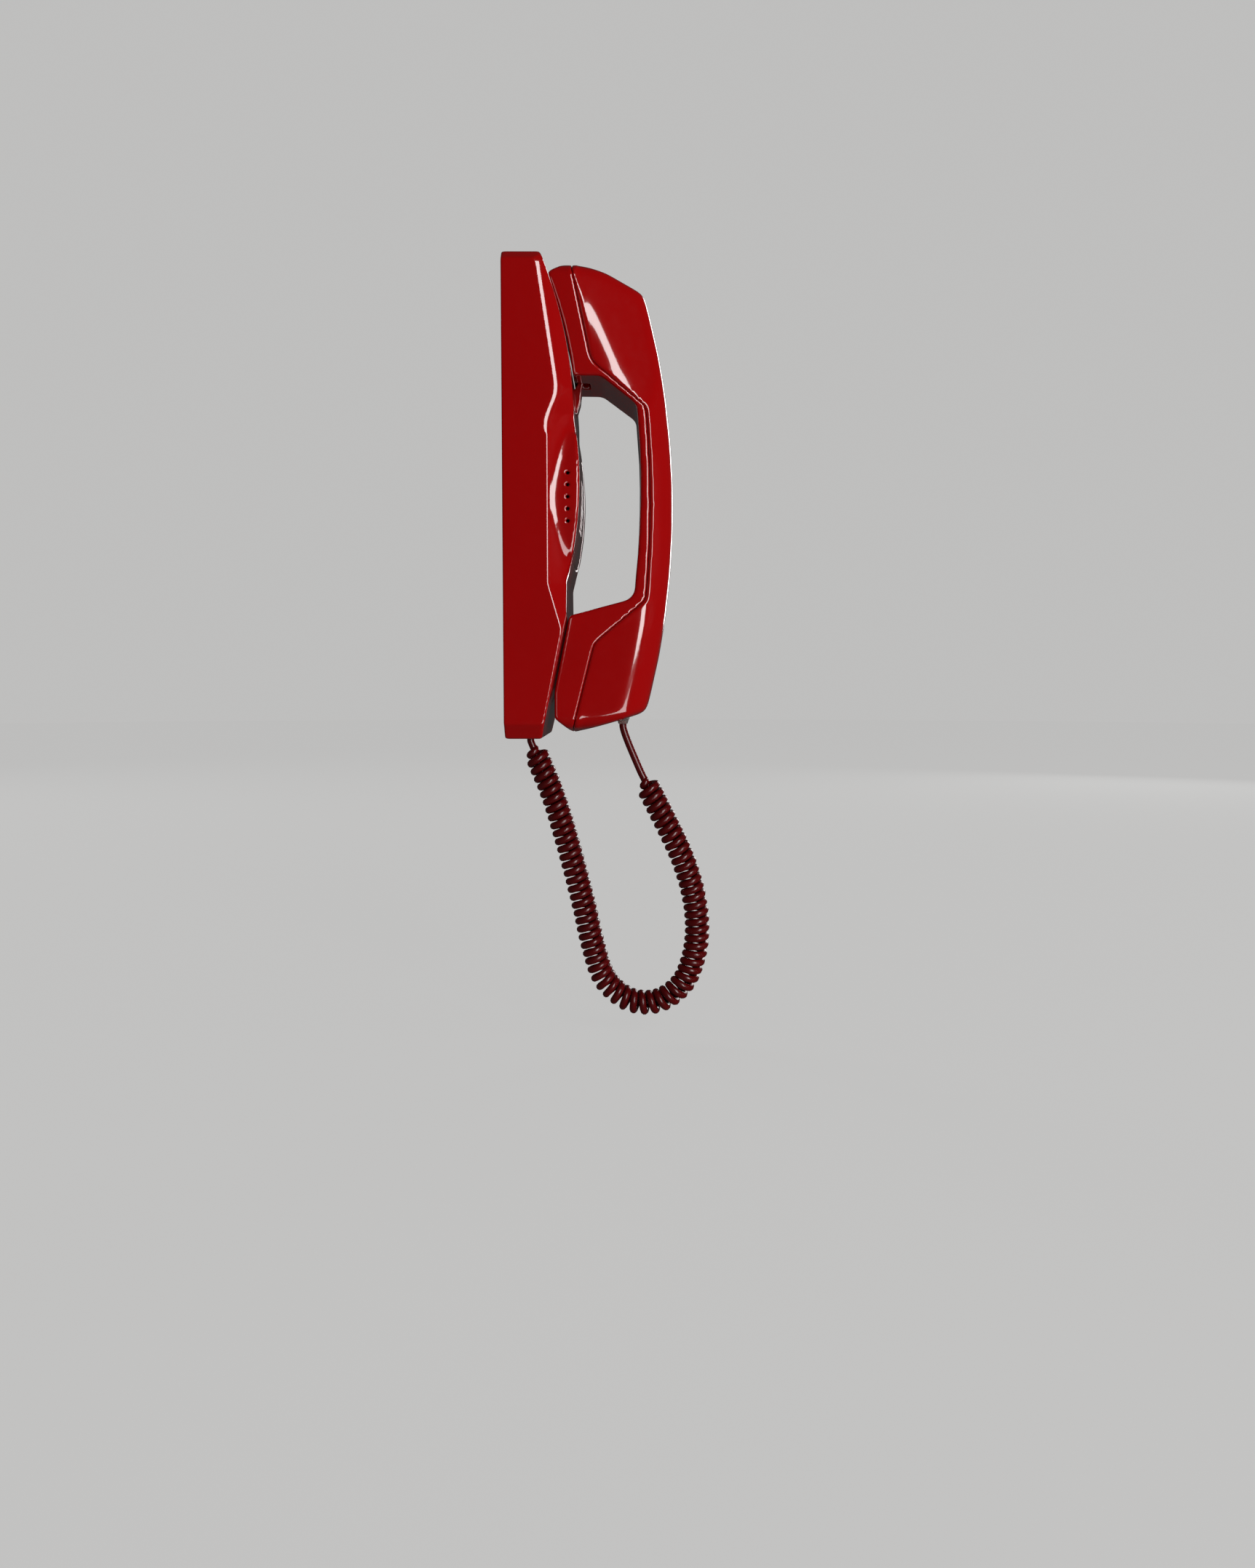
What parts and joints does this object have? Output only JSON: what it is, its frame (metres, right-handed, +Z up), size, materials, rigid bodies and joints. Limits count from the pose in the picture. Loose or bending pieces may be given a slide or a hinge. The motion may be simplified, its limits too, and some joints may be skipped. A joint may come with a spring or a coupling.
{
  "type": "slimline wall phone",
  "caption": "Slim faceted wall telephone with a blank front, a handset that hangs on a tab and lifts off, and a curly cord looping below.",
  "frame": {"origin": "centre of the base's flat back face, on the wall plane", "axes": "+Z up, the front looks along -Y, +X to the right seen from the front"},
  "size_m": [0.0922, 0.097, 0.3588],
  "materials": {
    "red_plastic": "moulded gloss red",
    "back_black": "fine moulded texture",
    "black_plastic": "satin moulded",
    "board_green": "solder mask",
    "screw_steel": "zinc plated",
    "coil_tape": "wound tape",
    "capacitor_blue": "printed sleeve",
    "sounder_grey": "moulded",
    "wire_yellow": "insulated wire",
    "wire_red": "insulated wire",
    "capsule_grey": "moulded",
    "soft_rubber": "matte",
    "mic_metal": "drawn can",
    "weight_steel": "oiled",
    "clear_plastic": "clear polycarbonate",
    "cord_red": "gloss vinyl"
  },
  "bodies": {
    "base": {"base_cover": "red_plastic", "back_plate": "back_black", "face_plate": "red_plastic", "hook_tab": "red_plastic", "hook_switch": "black_plastic", "circuit_board": "board_green", "board_screws": "screw_steel", "line_transformer": "coil_tape", "capacitors": "capacitor_blue", "line_jack": "black_plastic", "cord_jack": "black_plastic", "ringer_sounder": "sounder_grey", "sounder_ring": "black_plastic", "sounder_screws": "screw_steel", "ringer_switch": "screw_steel", "cover_screws": "screw_steel", "base_wires": "wire_yellow", "plug_base": "clear_plastic", "cord_lead_base": "cord_red", "cord_lead_handset": "cord_red", "cord_coil": "cord_red"},
    "handset": {"handset_inner_shell": "red_plastic", "handset_outer_shell": "red_plastic", "handset_weight": "weight_steel", "handset_jack": "black_plastic", "handset_wires": "wire_red", "receiver": "capsule_grey", "receiver_gasket": "soft_rubber", "microphone": "mic_metal", "microphone_holder": "soft_rubber", "weight_screws": "screw_steel", "shell_screws": "screw_steel", "plug_handset": "clear_plastic"},
    "plunger": {"hook_plunger": "black_plastic"},
    "volume_slide": {"ringer_slide": "black_plastic"}
  },
  "joints": [
    {"name": "handset_lift", "type": "slide", "parent": "base", "child": "handset", "axis": [0, -0.5, 0.866], "range_m": [0, 0.036]},
    {"name": "plunger_travel", "type": "slide", "parent": "base", "child": "plunger", "axis": [0, -1, 0], "range_m": [0, 0.0035]},
    {"name": "ringer_volume", "type": "slide", "parent": "base", "child": "volume_slide", "axis": [0, 0, 1], "range_m": [-0.003, 0.003]}
  ],
  "couplings": [
    {"joint": "plunger_travel", "follows": "handset_lift", "ratio": 0.0967}
  ]
}
